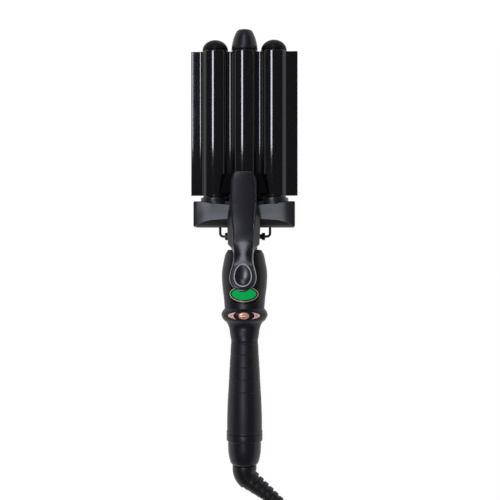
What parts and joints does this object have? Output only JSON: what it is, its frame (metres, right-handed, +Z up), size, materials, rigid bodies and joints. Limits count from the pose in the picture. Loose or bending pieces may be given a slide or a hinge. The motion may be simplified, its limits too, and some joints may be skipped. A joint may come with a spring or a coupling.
{
  "type": "hair waver",
  "caption": "Hair waver with parallel heated barrels, a sprung wave-shaped clamp and thumb lever, display, buttons, wire stand and swivel cord.",
  "frame": {"origin": "middle of the tool's footprint on the table, without the cord", "axes": "+X right, +Y towards the barrel tips, +Z up out of the table, on the side of the thumb lever"},
  "size_m": [0.1478, 0.5514, 0.0566],
  "materials": {
    "shell_plastic": "satin",
    "grip_plastic": "soft-touch matt",
    "gloss_plastic": "gloss",
    "cover_plastic": "satin",
    "coated_metal": "glossy black ceramic coating",
    "clamp_coating": "glossy black ceramic coating with fine sparkle",
    "wire_coating": "satin",
    "gold_rim": "polished",
    "rose_gold": "metallic lacquer",
    "screen": "clear window over a lit green panel",
    "steel": "brushed",
    "aluminium": "mill",
    "copper_alloy": "plain",
    "board": "solder mask",
    "white_ceramic": "fired",
    "cord_rubber": "matt"
  },
  "bodies": {
    "body": {"end_cap": "shell_plastic", "contact_carrier": "white_ceramic", "tail_collar": "shell_plastic", "grip_sleeve": "grip_plastic", "handle_core": "aluminium", "power_lead": "cord_rubber", "handle_front_shell": "shell_plastic", "handle_rear_shell": "shell_plastic", "shell_screws": "steel", "display_bezel": "gold_rim", "display_mask": "gloss_plastic", "lcd_screen": "screen", "display_module": "gloss_plastic", "control_board": "board", "push_switches": "steel", "neck_stem": "shell_plastic", "hinge_pin": "steel", "torsion_spring": "steel", "heater_lead": "cord_rubber", "block_body": "shell_plastic", "block_front_cover": "cover_plastic", "block_screws": "steel", "stand_bushes": "gloss_plastic", "barrel_left": "coated_metal", "barrel_centre": "coated_metal", "barrel_right": "coated_metal", "collar_left": "shell_plastic", "collar_centre": "shell_plastic", "collar_right": "shell_plastic", "dome_left": "gloss_plastic", "dome_right": "gloss_plastic", "cool_tip": "shell_plastic", "shoe_left": "aluminium", "shoe_centre": "aluminium", "shoe_right": "aluminium", "bar_left": "white_ceramic", "bar_centre": "white_ceramic", "bar_right": "white_ceramic", "thermal_fuse": "copper_alloy"},
    "clamp": {"clamp_plate": "clamp_coating", "clamp_saddle": "gloss_plastic", "saddle_rivets": "steel", "lever": "shell_plastic", "thumb_pad": "gloss_plastic"},
    "stand": {"stand_wire": "wire_coating"},
    "minus_button": {"button_minus": "rose_gold"},
    "power_button": {"button_power": "rose_gold"},
    "plus_button": {"button_plus": "rose_gold"},
    "swivel": {"swivel_boot": "gloss_plastic", "slip_rings": "copper_alloy", "strain_relief": "cord_rubber", "cord_tube": "cord_rubber", "cord_coil": "cord_rubber", "cord_tail": "cord_rubber", "cord_tie": "cord_rubber", "plug_body": "gloss_plastic", "plug_pins": "copper_alloy"}
  },
  "joints": [
    {"name": "clamp_hinge", "type": "hinge", "parent": "body", "child": "clamp", "pos_m": [0, 0.02007, 0.024], "axis": [1, 0, 0], "range_deg": [0, 20], "stiffness_Nm_per_rad": 0.6, "springref_deg": -20.05, "deforming": ["torsion_spring"]},
    {"name": "stand_pivot", "type": "hinge", "parent": "body", "child": "stand", "pos_m": [0, 0.02007, 0.004], "axis": [-1, 0, 0], "range_deg": [0, 100]},
    {"name": "minus_press", "type": "slide", "parent": "body", "child": "minus_button", "axis": [0, 0, -1], "range_m": [0, 0.0006], "stiffness_N_per_m": 400, "springref_m": -0.0008},
    {"name": "power_press", "type": "slide", "parent": "body", "child": "power_button", "axis": [0, 0, -1], "range_m": [0, 0.0006], "stiffness_N_per_m": 400, "springref_m": -0.0008},
    {"name": "plus_press", "type": "slide", "parent": "body", "child": "plus_button", "axis": [0, 0, -1], "range_m": [0, 0.0006], "stiffness_N_per_m": 400, "springref_m": -0.0008},
    {"name": "cord_swivel", "type": "hinge", "parent": "body", "child": "swivel", "pos_m": [0, -0.18053, 0.0164], "axis": [0, -1, 0], "continuous": true}
  ]
}
